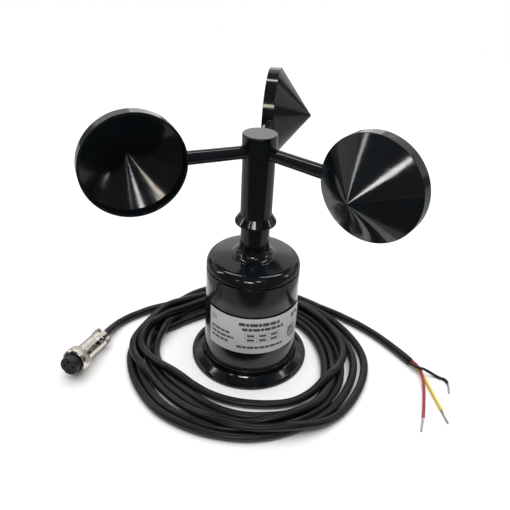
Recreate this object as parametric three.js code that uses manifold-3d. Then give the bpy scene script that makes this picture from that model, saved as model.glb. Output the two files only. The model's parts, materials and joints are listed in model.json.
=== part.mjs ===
// Cup anemometer: a three-cup rotor on a tall hub, a domed sensor housing on a round flange, and a
// separate extension cable with a four-way circular plug. Millimetres, +Z up. The origin is the centre
// of the flange's underside, on the rotor's axis. The label faces -Y.
import * as THREE from "three";
import { mergeVertices } from "three/addons/utils/BufferGeometryUtils.js";
import Module from "manifold-3d";

const wasm = await Module();
wasm.setup();

// ---- driving dimensions -------------------------------------------------------------------------
const GAP = 0.3; // clearance between pieces that touch

const flange = { r: 40, rim: 1.8, coneFoot: 37.5, collar: 32.3, coneTop: 3.8, top: 9.2, floor: 3.2 };
const spigot = { r: 28.4, top: 16, wall: 2 };
const seal = { inner: 29.2, outer: 31.4, height: 0.6 };
const housing = { bottom: 10.4, top: 72.4, rBottom: 31.2, rTop: 30.2, wall: 2.2 };
const labelPlate = { r: 31.35, thick: 0.4, bottom: 24, top: 51.6, left: -54.5, right: 72.5 };
const cap = { edge: 73.6, r: 30.2, shoulder: 6, domeTop: 84.6, domeRim: 11, boss: 11.5, bossFoot: 66 };
const capSpigot = { r: 27.7, wall: 2, foot: 64 };
const neck = { r: 9.05, bottom: 62, shoulder: 102.6, noseR: 7.5, top: 140.5, bore: 4.3 };
const collar = { r: 10.9, bottom: 84.9, top: 86.5 };
const bearing = { bore: 2.8, innerR: 3.3, outerIn: 4.9, outerR: 5.5, wide: 4, pitch: 4.1, ball: 0.5, balls: 6 };
const shaft = { r: 2.5, bottom: 52, top: 150.5 };
const hub = { r: 9.75, capR: 10.3, bore: 8.2, bottom: 104, seam: 150, top: 160.5, pocket: 5, web: 141.3, webTop: 145.7 };
const skirt = { r: 12.9, bottom: 103.7, rim: 1.2, top: 109.1 };
const arm = { r: 4, height: 150, inner: 5.4, outer: 47, boreR: 2.9, boreFrom: 37, first: 203, count: 3 };
const pin = { r: 0.9, at: 7.4, reach: 5.5 };
const cup = { r: 29.5, at: 73.1, mouth: -5.1, fold: 2.3, apex: 25.3, wall: 1.3 };
const board = { r: 23.5, bottom: 48, thick: 1.6, holes: 18, pillar: 2.9, screw: 1.5 };
const carrier = { top: 60.2, discTop: 58, discBottom: 55.8, bottom: 53.2, r: 12.3, hubR: 5.7 };
const socket = { height: 28, face: 33.4, padR: 12, padFrom: 27, threadR: 7.1, bore: 6.4, nose: 11, tail: -11 };
const plug = {
  rear: [-102.9, 0.4, 6],
  heading: -107.6,
  rise: 7.9,
  roll: -40,
  length: 42,
  shellR: 5.9,
  shellBore: 4.7,
  collarR: 6.9,
  insertR: 6.1,
  nutR: 8.4,
  nutFrom: 29.2,
  nutTo: 36.6,
  mouthR: 7.3,
  slotTurn: -29,
  slotWidth: 3.8,
  clampAt: 3.7,
  ear: 6.6,
  screwAt: 4.8,
};
const cable = { r: 2.7, wireR: 0.95 };
const coil = { y: -5.5, inner: 46.8, outer: 81.5, height: 11, widen: 1.03 };

// The cable's routes on the table, point by point.
const plugLead = [
  [-102.8, 0.7, 5.95],
  [-101.5, 4.8, 5.3],
  [-99.5, 11.6, 4.1],
  [-96.6, 18.1, 3.2],
  [-92.3, 24, 2.85],
  [-87.2, 29.2, 2.8],
  [-81.5, 34.1, 2.8],
  [-74.6, 38.8, 2.8],
];
const tailLead = [
  [75.1, 36.5, 2.8],
  [79.6, 33.2, 2.8],
  [85.3, 28.2, 2.8],
  [91.8, 21.7, 2.8],
  [98.1, 14.4, 2.8],
  [104, 6.6, 2.8],
  [109.8, -1.6, 2.8],
  [114.8, -9.6, 2.8],
];
const wireRoutes = {
  wire_black: [
    [115.2, -10.5, 4.1],
    [115.4, -12.4, 4.6],
    [115.9, -14.2, 5.05],
    [117.7, -15.9, 5.4],
    [120.3, -16.6, 5.1],
    [124.5, -17, 3],
    [128, -17.9, 1.4],
    [131, -19.9, 1.05],
    [134.1, -21.4, 1.05],
    [135.5, -25.2, 1.05],
    [134.9, -30.6, 1.05],
    [134, -33.9, 1.05],
  ],
  wire_red: [
    [116.1, -9.6, 2.5],
    [117, -10.6, 2.9],
    [118, -13.2, 3.1],
    [118.8, -17.1, 3.15],
    [118.6, -22.6, 3],
    [118.2, -28, 2.1],
    [117.1, -35.2, 1.2],
    [115, -44.2, 1.1],
    [113.3, -51, 1.05],
    [111.2, -58.4, 1.05],
    [108.1, -67.6, 1.05],
  ],
  wire_yellow: [
    [114.2, -10.8, 2.2],
    [115.8, -12.8, 1.25],
    [118.2, -15, 1.05],
    [119.6, -17.6, 1.05],
    [120.4, -20.6, 1.05],
    [121.4, -25.6, 1.05],
    [122.6, -34.8, 1.05],
    [123.9, -42.9, 1.05],
    [125.1, -50.2, 1.05],
    [126.6, -60.1, 1.05],
  ],
};

// ---- geometry helpers ---------------------------------------------------------------------------
const degrees = THREE.MathUtils.degToRad;

// Turns a closed outline of [radius, height] points about +Z.
function turned(outline, sides) {
  let area = 0;
  outline.forEach(([r, z], i) => {
    const [r2, z2] = outline[(i + 1) % outline.length];
    area += r * z2 - r2 * z;
  });
  const ordered = area > 0 ? outline : [...outline].reverse();
  const onAxis = ordered.findIndex(([r], i) => r === 0 && ordered[(i + 1) % ordered.length][0] !== 0);
  const start = Math.max(onAxis, 0);
  const points = ordered.map((_, i) => new THREE.Vector2(...ordered[(start + i) % ordered.length]));
  if (onAxis < 0) points.push(points[0].clone());
  return new THREE.LatheGeometry(points, sides).rotateX(Math.PI / 2);
}

function ring(inner, outer, bottom, top, sides) {
  const outline = [
    [inner, bottom],
    [outer, bottom],
    [outer, top],
    [inner, top],
  ];
  return turned(outline, sides);
}

function rod(radius, bottom, top, sides) {
  return ring(0, radius, bottom, top, sides);
}

// A rod that lies along +X.
function rodAlongX(radius, from, to, sides) {
  return rod(radius, from, to, sides).rotateY(Math.PI / 2);
}

function tube(points, radius, sides, stepLength) {
  const path = new THREE.CatmullRomCurve3(points.map((p) => new THREE.Vector3(...p)), false, "centripetal");
  const section = new THREE.Shape();
  for (let i = 0; i < sides; i += 1) {
    const angle = (2 * Math.PI * i) / sides;
    const corner = [radius * Math.cos(angle), radius * Math.sin(angle)];
    if (i === 0) section.moveTo(...corner);
    else section.lineTo(...corner);
  }
  const steps = Math.ceil(path.getLength() / stepLength);
  return new THREE.ExtrudeGeometry(section, { steps, extrudePath: path, bevelEnabled: false });
}

function solid(geometry) {
  const bare = geometry.clone();
  bare.deleteAttribute("normal");
  bare.deleteAttribute("uv");
  const merged = mergeVertices(bare, 1e-4);
  const mesh = new wasm.Mesh({
    numProp: 3,
    vertProperties: new Float32Array(merged.attributes.position.array),
    triVerts: new Uint32Array(merged.index.array),
  });
  return new wasm.Manifold(mesh);
}

function geometryOf(manifold) {
  const mesh = manifold.getMesh();
  const geometry = new THREE.BufferGeometry();
  geometry.setAttribute("position", new THREE.BufferAttribute(new Float32Array(mesh.vertProperties), 3));
  geometry.setIndex(new THREE.BufferAttribute(new Uint32Array(mesh.triVerts), 1));
  return geometry;
}

function cut(body, ...tools) {
  return geometryOf(tools.reduce((left, tool) => left.subtract(solid(tool)), solid(body)));
}

function join(...pieces) {
  return geometryOf(pieces.slice(1).reduce((whole, piece) => whole.add(solid(piece)), solid(pieces[0])));
}

function hexNut(bore, corner, bottom, top) {
  return cut(rod(corner, bottom, top, 6), rod(bore, bottom - 1, top + 1, 18));
}

// Copies of a geometry turned about +Z, evenly spaced from a first angle in degrees.
function around(geometry, count, first = 0) {
  return Array.from({ length: count }, (_, i) => geometry.clone().rotateZ(degrees(first + (360 * i) / count)));
}

// ---- materials ----------------------------------------------------------------------------------
function material(color, roughness, metalness = 0) {
  return new THREE.MeshStandardMaterial({ color, roughness, metalness });
}

const blackGloss = material(0x101113, 0.18);
const blackMatt = material(0x17181a, 0.55);
const rubber = material(0x0b0b0c, 0.8);
const jacket = material(0x121214, 0.45);
const steel = material(0xb8bcc0, 0.28, 1);
const nickel = material(0xcfcac0, 0.22, 1);
const brass = material(0xb79a52, 0.35, 1);
const silverFilm = material(0xb9bab8, 0.4, 0.3);
const greenBoard = material(0x1d5a34, 0.5);
const redSheath = material(0xb3131b, 0.45);
const yellowSheath = material(0xe0b512, 0.45);

const part = new THREE.Group();

function piece(name, geometry, finish, parent = part) {
  const mesh = new THREE.Mesh(geometry, finish);
  mesh.name = name;
  parent.add(mesh);
  return mesh;
}

// ---- base, housing and neck ---------------------------------------------------------------------
function baseFlange() {
  const outline = [
    [0, 0],
    [flange.r, 0],
    [flange.r, flange.rim],
    [flange.coneFoot, flange.rim],
    [flange.collar + 0.5, flange.coneTop],
    [flange.collar, flange.coneTop + 0.6],
    [flange.collar, flange.top],
    [spigot.r, flange.top],
    [spigot.r, spigot.top],
    [spigot.r - spigot.wall, spigot.top],
    [spigot.r - spigot.wall, flange.floor],
    [0, flange.floor],
  ];
  const sink = [
    [0, -1],
    [4.2, -1],
    [3.9, 0.6],
    [1.9, 2.4],
    [1.9, 5],
    [0, 5],
  ];
  const hole = turned(sink, 12).translate(board.holes, 0, 0);
  return cut(turned(outline, 32), ...around(hole, 3, 30));
}

function housingShell() {
  const outline = [
    [housing.rBottom - housing.wall, housing.bottom],
    [housing.rBottom, housing.bottom],
    [housing.rTop, housing.top],
    [housing.rTop - housing.wall, housing.top],
  ];
  const pad = rod(socket.padR, socket.padFrom, socket.face, 24).rotateX(-Math.PI / 2);
  const bore = rod(socket.threadR + GAP, 20, 40, 20).rotateX(-Math.PI / 2);
  const padded = join(turned(outline, 32), pad.translate(0, 0, socket.height));
  return cut(padded, bore.translate(0, 0, socket.height));
}

function labelSheet() {
  const from = degrees(labelPlate.left - 90);
  const to = degrees(labelPlate.right - 90);
  const shape = new THREE.Shape();
  shape.absarc(0, 0, labelPlate.r + labelPlate.thick, from, to, false);
  shape.absarc(0, 0, labelPlate.r, to, from, true);
  const options = { depth: labelPlate.top - labelPlate.bottom, bevelEnabled: false, curveSegments: 12 };
  return new THREE.ExtrudeGeometry(shape, options).translate(0, 0, labelPlate.bottom);
}

function topCap() {
  const centre = cap.r - cap.shoulder;
  const arcFoot = 74;
  const shoulder = [0, 22.5, 45, 67.5, 90].map((angle) => [
    centre + cap.shoulder * Math.cos(degrees(angle)),
    arcFoot + cap.shoulder * Math.sin(degrees(angle)),
  ]);
  const outline = [
    [capSpigot.r, cap.edge],
    [cap.r, cap.edge],
    ...shoulder,
    [cap.domeRim, cap.domeTop],
    [neck.r + GAP, cap.domeTop],
    [neck.r + GAP, cap.bossFoot],
    [cap.boss, cap.bossFoot],
    [cap.boss, 81.5],
    [23.2, 77.6],
    [capSpigot.r - capSpigot.wall, 75],
    [capSpigot.r - capSpigot.wall, capSpigot.foot],
    [capSpigot.r, capSpigot.foot],
  ];
  return turned(outline, 32);
}

function neckTube() {
  const seat = bearing.outerR + GAP;
  const outline = [
    [seat, neck.bottom],
    [neck.r, neck.bottom],
    [neck.r, neck.shoulder],
    [neck.noseR, neck.shoulder],
    [neck.noseR, neck.top],
    [seat, neck.top],
    [seat, neck.top - bearing.wide - GAP],
    [neck.bore, neck.top - bearing.wide - GAP],
    [neck.bore, neck.bottom + bearing.wide + GAP],
    [seat, neck.bottom + bearing.wide + GAP],
  ];
  return turned(outline, 20);
}

function neckCollar() {
  const outline = [
    [neck.r + GAP, collar.bottom],
    [collar.r, collar.bottom],
    [collar.r, collar.bottom + 0.8],
    [collar.r - 0.6, collar.top],
    [neck.r + GAP, collar.top],
  ];
  return turned(outline, 24);
}

piece("base_flange", baseFlange(), blackGloss);
piece("base_seal", ring(seal.inner, seal.outer, 9.5, 9.5 + seal.height, 28), rubber);
piece("housing", housingShell(), blackGloss);
piece("label", labelSheet(), silverFilm);
piece("cap_seal", ring(28, 30, housing.top + GAP, cap.edge - GAP, 28), rubber);
piece("top_cap", topCap(), blackGloss);
piece("neck_collar", neckCollar(), blackGloss);
piece("neck_tube", neckTube(), blackGloss);

// ---- bearings -----------------------------------------------------------------------------------
function ballCage() {
  const hoop = ring(bearing.pitch - 0.18, bearing.pitch + 0.18, -0.4, 0.4, 18);
  const ball = new THREE.SphereGeometry(bearing.ball, 6, 4).rotateX(Math.PI / 2).translate(bearing.pitch, 0, 0);
  return join(hoop, ...around(ball, bearing.balls));
}

function addBearing(name, bottom) {
  const top = bottom + bearing.wide;
  piece(name + "_outer", ring(bearing.outerIn, bearing.outerR, bottom, top, 18), steel);
  piece(name + "_inner", ring(bearing.bore, bearing.innerR, bottom, top, 18), steel);
  piece(name + "_balls", ballCage(), steel).position.z = (bottom + top) / 2;
}

addBearing("lower_bearing", neck.bottom);
addBearing("upper_bearing", neck.top - bearing.wide);

// ---- rotor shaft and magnet ---------------------------------------------------------------------
function circlip() {
  const shape = new THREE.Shape();
  const open = degrees(30);
  shape.absarc(0, 0, 4, open, 2 * Math.PI - open, false);
  shape.absarc(0, 0, shaft.r + GAP, 2 * Math.PI - open, open, true);
  return new THREE.ExtrudeGeometry(shape, { depth: 0.8, bevelEnabled: false, curveSegments: 10 });
}

function magnetCarrier() {
  const bore = shaft.r + GAP;
  const outline = [
    [bore, carrier.bottom],
    [carrier.hubR, carrier.bottom],
    [carrier.hubR, carrier.discBottom],
    [carrier.r, carrier.discBottom],
    [carrier.r, carrier.discTop],
    [carrier.hubR, carrier.discTop],
    [carrier.hubR, carrier.top],
    [bore, carrier.top],
  ];
  return turned(outline, 18);
}

piece("rotor_shaft", rod(shaft.r, shaft.bottom, shaft.top, 14), steel);
piece("bearing_spacer", ring(bearing.bore, 3.5, 66.3, 136.2, 14), steel);
piece("shaft_circlip", circlip(), steel).position.z = 60.8;
piece("magnet_carrier", magnetCarrier(), blackMatt);
piece("encoder_magnet", ring(carrier.hubR + GAP, 11.5, 53.2, carrier.discBottom - GAP, 18), steel);
piece("hub_nut", hexNut(shaft.r + GAP, 4.5, hub.webTop + GAP, 149.2), steel);

// ---- hub, arms and cups -------------------------------------------------------------------------
const rotor = new THREE.Group();
rotor.rotation.z = degrees(arm.first);
part.add(rotor);

const armNotches = around(rodAlongX(arm.r + GAP, 1, 20, 16).translate(0, 0, arm.height), arm.count);
const pinHoles = around(
  rod(pin.r + GAP, arm.height - pin.reach - GAP, arm.height + pin.reach + GAP, 8).translate(pin.at, 0, 0),
  arm.count,
);

function hubSleeve() {
  const outline = [
    [hub.bore, hub.bottom],
    [hub.r, hub.bottom],
    [hub.r, hub.seam - GAP / 2],
    [hub.pocket, hub.seam - GAP / 2],
    [hub.pocket, hub.webTop],
    [shaft.r + GAP, hub.webTop],
    [shaft.r + GAP, hub.web],
    [hub.bore, hub.web],
  ];
  return cut(turned(outline, 24), ...armNotches, ...pinHoles);
}

function hubCap() {
  const outline = [
    [hub.pocket, hub.seam + GAP / 2],
    [hub.capR, hub.seam + GAP / 2],
    [hub.capR, hub.top - 0.4],
    [hub.capR - 0.4, hub.top],
    [0, hub.top],
    [0, 157],
    [hub.pocket, 157],
  ];
  return cut(turned(outline, 24), ...armNotches, ...pinHoles);
}

function rainSkirt() {
  const inner = hub.r + GAP;
  const outline = [
    [inner, skirt.bottom],
    [skirt.r, skirt.bottom],
    [skirt.r, skirt.bottom + skirt.rim],
    [inner + 0.2, skirt.top],
    [inner, skirt.top],
  ];
  return turned(outline, 24);
}

// A round arm whose outer end is shaped to the cup and takes the cup's spigot.
function armRod() {
  const hole = rod(pin.r + GAP, -10, 10, 8).translate(pin.at, 0, 0);
  const bore = rodAlongX(arm.boreR, arm.boreFrom, arm.outer + 1, 16);
  const outline = [
    [0, cup.mouth - 1],
    [cup.r + GAP, cup.mouth - 1],
    [cup.r + GAP, cup.fold + 0.1],
    [0, cup.apex + 0.6],
  ];
  const room = turned(outline, 32).rotateX(Math.PI / 2).translate(cup.at, 0, 0);
  return cut(rodAlongX(arm.r, arm.inner, arm.outer, 16), hole, bore, room);
}

// A conical cup about +Z: the mouth is low, the apex is high, and the arm meets it at height 0.
function cupShell() {
  const rise = (cup.apex - cup.fold) / cup.r;
  const skin = cup.wall * Math.hypot(1, rise);
  const innerR = cup.r - cup.wall;
  const outside = [
    [0, cup.mouth],
    [cup.r, cup.mouth],
    [cup.r, cup.fold],
    [0, cup.apex],
  ];
  const inside = [
    [0, cup.mouth - 1],
    [innerR, cup.mouth - 1],
    [innerR, cup.apex - skin - innerR * rise],
    [0, cup.apex - skin],
  ];
  const spigotEnd = cup.at - cup.r + 1;
  const stub = rodAlongX(arm.boreR - GAP, arm.boreFrom + GAP, spigotEnd, 16).translate(-cup.at, 0, 0);
  return cut(join(turned(outside, 32), stub), turned(inside, 32));
}

piece("hub_sleeve", hubSleeve(), blackGloss, rotor);
piece("hub_cap", hubCap(), blackGloss, rotor);
piece("rain_skirt", rainSkirt(), blackGloss, rotor);
const cupGeometry = cupShell();
for (let i = 0; i < arm.count; i += 1) {
  const branch = new THREE.Group();
  branch.rotation.z = degrees((360 * i) / arm.count);
  branch.position.z = arm.height;
  rotor.add(branch);
  piece(`arm_${i + 1}`, armRod(), blackGloss, branch);
  piece(`arm_pin_${i + 1}`, rod(pin.r, -pin.reach, pin.reach, 8), steel, branch).position.x = pin.at;
  const shell = piece(`cup_${i + 1}`, cupGeometry.clone(), blackGloss, branch);
  shell.position.x = cup.at;
  shell.rotation.x = Math.PI / 2;
}

// ---- circuit board ------------------------------------------------------------------------------
function circuitBoard() {
  const hole = rod(board.screw + GAP, -1, 3, 8).translate(board.holes, 0, 0);
  return cut(rod(board.r, 0, board.thick, 24), ...around(hole, 3, 30)).translate(0, 0, board.bottom);
}

// A pillar with a screw socket in each end.
function boardPillar() {
  const top = board.bottom - GAP - flange.floor - GAP;
  const bore = board.screw + GAP;
  const outline = [
    [0, 9],
    [bore, 9],
    [bore, 0],
    [board.pillar, 0],
    [board.pillar, top],
    [bore, top],
    [bore, top - 7],
    [0, top - 7],
  ];
  return turned(outline, 6);
}

function screw(shankLength, headR, headHeight) {
  const outline = [
    [0, -shankLength],
    [board.screw, -shankLength],
    [board.screw, 0],
    [headR, 0],
    [headR - 0.4, headHeight],
    [0, headHeight],
  ];
  return turned(outline, 12);
}

// A countersunk screw that points up, its head's face level with the flange's underside.
function baseScrew() {
  const outline = [
    [0, 0.3],
    [3.4, 0.3],
    [board.screw, 2.4],
    [board.screw, 10.5],
    [0, 10.5],
  ];
  return turned(outline, 12);
}

piece("circuit_board", circuitBoard(), greenBoard);
piece("hall_sensor", new THREE.BoxGeometry(4, 3, 1.5), blackMatt).position.set(8.5, 0, 50.8);
for (let i = 0; i < 3; i += 1) {
  const corner = new THREE.Group();
  const angle = degrees(30 + 120 * i);
  corner.position.set(board.holes * Math.cos(angle), board.holes * Math.sin(angle), 0);
  part.add(corner);
  piece(`board_pillar_${i + 1}`, boardPillar(), brass, corner).position.z = flange.floor + GAP;
  const headSeat = board.bottom + board.thick + GAP;
  piece(`board_screw_${i + 1}`, screw(6, 2.8, 1.6), steel, corner).position.z = headSeat;
  piece(`base_screw_${i + 1}`, baseScrew(), steel, corner);
}

// ---- panel socket in the back of the housing ----------------------------------------------------
const outlet = new THREE.Group();
outlet.position.set(0, socket.face, socket.height);
outlet.rotation.x = -Math.PI / 2;
part.add(outlet);

function panelSocket() {
  const outline = [
    [socket.bore, socket.tail],
    [socket.threadR - 0.3, socket.tail],
    [socket.threadR, 0],
    [socket.threadR, GAP],
    [10.6, GAP],
    [10.6, 2.2],
    [socket.threadR, 2.2],
    [socket.threadR, socket.nose],
    [socket.bore, socket.nose],
  ];
  return turned(outline, 20);
}

function socketInsert() {
  const disc = rod(socket.bore - GAP, socket.tail, 2.4, 20);
  const contact = rod(0.8, 1, 9.4, 8).translate(3.4, 0, 0);
  return join(disc, ...around(contact, 4));
}

piece("panel_socket", panelSocket(), nickel, outlet);
piece("socket_insert", socketInsert(), blackMatt, outlet);
piece("socket_nut", hexNut(socket.threadR + GAP, 10.8, -8.6, -6.7), nickel, outlet);
const harnessRoute = [
  [0, 8, 47.6],
  [0, 8.4, 42],
  [0, 11, 34],
  [0, 16, 29],
  [0, 22.1, socket.height],
];
piece("socket_harness", tube(harnessRoute, 1.6, 8, 4), jacket);

// ---- cable plug ---------------------------------------------------------------------------------
// Along the plug's own +Z: the cable enters at 0 and the contact face is at plug.length. The clamp plate
// is on its -X side.
const plugAxis = new THREE.Group();
plugAxis.position.set(...plug.rear);
plugAxis.rotation.set(0, Math.PI / 2 - degrees(plug.rise), degrees(plug.heading), "ZYX");
part.add(plugAxis);
const plugGroup = new THREE.Group();
plugGroup.rotation.z = degrees(plug.roll);
plugAxis.add(plugGroup);

function plugInsert() {
  const body = rod(plug.insertR, plug.nutFrom + 1, plug.length, 20);
  const contact = rod(0.9, plug.length - 5, plug.length + 1, 8).translate(3.1, 0, 0);
  const key = rod(0.9, plug.length - 6, plug.length + 1, 8).translate(plug.insertR + 0.1, 0, 0);
  return cut(body, ...around(contact, 4, 45), key);
}

function plugNut() {
  const bore = plug.shellR + GAP + 0.2;
  const outline = [
    [bore, plug.nutFrom],
    [plug.nutR - 0.5, plug.nutFrom],
    [plug.nutR, plug.nutFrom + 0.6],
    [plug.nutR, plug.nutTo - 0.6],
    [plug.nutR - 0.5, plug.nutTo],
    [plug.mouthR, plug.nutTo],
    [plug.mouthR, plug.nutFrom + 3.4],
    [bore, plug.nutFrom + 2.6],
  ];
  return turned(outline, 24);
}

function clampHoles() {
  const hole = rod(1.3, -9, 9, 8).rotateY(Math.PI / 2);
  return [plug.screwAt, -plug.screwAt].map((side) => hole.clone().translate(0, side, plug.clampAt));
}

function plugShell() {
  const outline = [
    [cable.r + GAP, 0.6],
    [4.4, 0.6],
    [4.4, 4.9],
    [5.4, 5.4],
    [plug.shellR, 6.4],
    [plug.shellR, plug.nutFrom + 2.6],
    [plug.collarR, plug.nutFrom + 3.4],
    [plug.collarR, plug.nutFrom + 4.6],
    [plug.insertR + GAP, plug.nutFrom + 4.6],
    [plug.insertR + GAP, plug.nutFrom + 0.6],
    [plug.shellBore, plug.nutFrom + 0.6],
    [plug.shellBore, 7],
    [cable.r + GAP, 5.4],
  ];
  const slot = (from, to) => {
    const box = new THREE.BoxGeometry(4, plug.slotWidth, to - from).translate(-6.4, 0, (from + to) / 2);
    return box.rotateZ(degrees(plug.slotTurn));
  };
  const saddleSeat = new THREE.BoxGeometry(7.5, 20, 5.6).translate(-4.45, 0, plug.clampAt - 0.4);
  const ears = new THREE.BoxGeometry(4, 2 * plug.ear, 3.6).translate(1.3, 0, plug.clampAt);
  const bore = rod(cable.r + GAP, -1, 8, 12);
  const blank = join(turned(outline, 20), ears);
  return cut(blank, bore, slot(13.7, 24.7), slot(6.6, 12.3), saddleSeat, ...clampHoles());
}

function plugClamp() {
  const plate = new THREE.BoxGeometry(1.4, 2 * plug.ear, 3.6).translate(-1.8, 0, plug.clampAt);
  const arch = ring(cable.r + GAP, 4.1, 0.7, 5.2, 16);
  const keep = new THREE.BoxGeometry(7.5, 20, 10).translate(-4.85, 0, plug.clampAt);
  const half = geometryOf(solid(arch).intersect(solid(keep)));
  const bore = rod(cable.r + GAP, -1, 8, 16);
  return cut(join(half, plate), bore, ...clampHoles());
}

piece("plug_insert", plugInsert(), blackMatt, plugGroup);
piece("plug_nut", plugNut(), nickel, plugGroup);
piece("plug_shell", plugShell(), nickel, plugGroup);
piece("plug_clamp", plugClamp(), nickel, plugGroup);
[plug.screwAt, -plug.screwAt].forEach((side, i) => {
  const outline = [
    [0, 0],
    [1.6, 0],
    [1.6, 1.2],
    [1, 1.2],
    [1, 6.6],
    [0, 6.6],
  ];
  const bolt = piece(`clamp_screw_${i + 1}`, turned(outline, 10), nickel, plugGroup);
  bolt.position.set(-4, side, plug.clampAt);
  bolt.rotation.y = Math.PI / 2;
});

// ---- cable --------------------------------------------------------------------------------------
function cableCoil() {
  const outline = [
    [coil.inner, 0.2],
    [coil.outer - 3, 0.2],
    [coil.outer, 2.8],
    [coil.outer - 3, 7],
    [coil.outer - 10, coil.height],
    [coil.inner + 8, coil.height],
    [coil.inner, 5.4],
  ];
  return turned(outline, 40).scale(coil.widen, 1, 1).translate(0, coil.y, 0);
}

piece("cable_coil", cableCoil(), jacket);
piece("cable_lead_plug", tube(plugLead, cable.r, 8, 9), jacket);
piece("cable_lead_tail", tube(tailLead, cable.r, 8, 9), jacket);
const sheaths = { wire_black: jacket, wire_red: redSheath, wire_yellow: yellowSheath };
for (const [name, route] of Object.entries(wireRoutes)) {
  piece(name, tube(route, cable.wireR, 8, 6), sheaths[name]);
}

export default part;
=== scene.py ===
"""Cup anemometer: the looks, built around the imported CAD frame.

Lengths are in millimetres until a mesh or a curve is made, and angles are in degrees. An azimuth of 0
points to the right (+X), and 90 points to the back (+Y). The label faces the front (-Y).
"""

import json
import math

import bmesh
import bpy
import numpy as np
from mathutils import Euler, Matrix, Vector


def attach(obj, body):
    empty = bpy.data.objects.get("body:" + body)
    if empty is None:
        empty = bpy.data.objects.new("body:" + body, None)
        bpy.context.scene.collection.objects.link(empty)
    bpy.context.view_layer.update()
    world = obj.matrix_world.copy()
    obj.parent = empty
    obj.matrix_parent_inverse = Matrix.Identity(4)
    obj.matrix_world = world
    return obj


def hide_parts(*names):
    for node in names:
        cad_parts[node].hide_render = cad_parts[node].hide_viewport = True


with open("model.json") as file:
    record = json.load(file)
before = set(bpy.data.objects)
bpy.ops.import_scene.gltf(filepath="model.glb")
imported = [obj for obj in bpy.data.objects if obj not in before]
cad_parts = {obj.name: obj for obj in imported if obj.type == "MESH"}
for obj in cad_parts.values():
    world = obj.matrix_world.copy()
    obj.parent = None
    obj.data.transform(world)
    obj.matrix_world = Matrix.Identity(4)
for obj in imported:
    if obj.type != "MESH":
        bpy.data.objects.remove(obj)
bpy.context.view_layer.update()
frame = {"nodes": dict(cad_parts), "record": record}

MM = 0.001
SHARP = math.radians(32)

# ---- driving dimensions -------------------------------------------------------------------------------
# They are the CAD's, apart from CAP_TOP, the neck's flare and SLOT_TURN, which follow the real shape closer.
FLANGE_R, FLANGE_RIM, CONE_FOOT, COLLAR_R, CONE_TOP, FLANGE_TOP = 40, 1.8, 37.5, 32.3, 3.8, 9.2
SPIGOT_R, SPIGOT_TOP, FLANGE_FLOOR = 28.4, 16, 3.2
HOUSING_BOTTOM, HOUSING_TOP, HOUSING_R_LOW, HOUSING_R_HIGH, HOUSING_WALL = 10.4, 72.4, 31.2, 30.2, 2.2
LABEL_R, LABEL_THICK, LABEL_BOTTOM, LABEL_TOP = 31.35, 0.4, 24, 51.6
LABEL_LEFT, LABEL_RIGHT = -54.5, 72.5
CAP_EDGE, CAP_R, SHOULDER_R, SHOULDER_FOOT, CAP_TOP = 73.6, 30.2, 6, 74, 80.25
NECK_R, NECK_SHOULDER, NOSE_R, NECK_TOP = 9.05, 102.6, 7.5, 140.5
FLARE_R, FLARE_FOOT, FLARE_TOP, FLARE_THICK = 5.4, 80.95, 86.5, 0.6
HUB_R, HUB_CAP_R, HUB_BORE, HUB_BOTTOM, HUB_SEAM, HUB_TOP = 9.75, 10.3, 8.2, 104, 150, 160.5
SKIRT_R, SKIRT_BOTTOM, SKIRT_RIM, SKIRT_TOP = 12.9, 103.7, 1.2, 109.1
ARM_R, ARM_THIN, ARM_INNER, ARM_OUTER, ARM_AZIMUTHS = 4, 3.85, 5.4, 47, (203, 323, 83)
CUP_R, CUP_AT, CUP_MOUTH, CUP_FOLD, CUP_APEX, CUP_WALL = 29.5, 73.1, -5.1, 2.3, 25.3, 1.3
STUB_R, STUB_FROM = 2.6, 37.3
SOCKET_HEIGHT, SOCKET_FACE, PAD_R = 28, 33.4, 12
THREAD_R, SOCKET_BORE, SOCKET_NOSE, SOCKET_TAIL = 7.1, 6.4, 11, -11
PLUG_REAR, PLUG_HEADING, PLUG_RISE, PLUG_ROLL, PLUG_LENGTH = (-102.9, 0.4, 6), -107.6, 7.9, -40, 42
SHELL_R, SHELL_BORE, PLUG_COLLAR_R, INSERT_R = 5.9, 4.7, 6.9, 6.1
NUT_R, NUT_FROM, NUT_TO, MOUTH_R = 8.4, 29.2, 36.6, 7.3
SLOT_TURN, SLOT_WIDTH = -18, 3.8
CLAMP_AT, EAR, CLAMP_SCREW_AT, SCREW_HEAD_R = 3.7, 6.6, 4.8, 1.6
CABLE_R, WIRE_R, GAP = 2.7, 0.95, 0.3

# ---- camera -------------------------------------------------------------------------------------------
CAMERA_PLACE = (0.0, -0.312, 0.27148)
CAMERA_PITCH, CAMERA_YAW, CAMERA_ROLL = -31.628, 0.136, 3.093
CAMERA_LENS, SENSOR = 40.347, 36.0


def add_camera():
    pitch, yaw, roll = (math.radians(a) for a in (CAMERA_PITCH, CAMERA_YAW, CAMERA_ROLL))
    ahead = Vector((math.sin(yaw) * math.cos(pitch), math.cos(yaw) * math.cos(pitch), math.sin(pitch)))
    right = ahead.cross(Vector((0, 0, 1))).normalized()
    up = right.cross(ahead)
    rolled_right = math.cos(roll) * right + math.sin(roll) * up
    rolled_up = -math.sin(roll) * right + math.cos(roll) * up
    data = bpy.data.cameras.new("camera")
    data.lens = CAMERA_LENS
    data.sensor_width = SENSOR
    camera = bpy.data.objects.new("camera", data)
    camera.matrix_world = Matrix.Translation(CAMERA_PLACE) @ Matrix(
        (rolled_right, rolled_up, -ahead)
    ).transposed().to_4x4()
    bpy.context.scene.collection.objects.link(camera)
    bpy.context.scene.camera = camera


add_camera()


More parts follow.
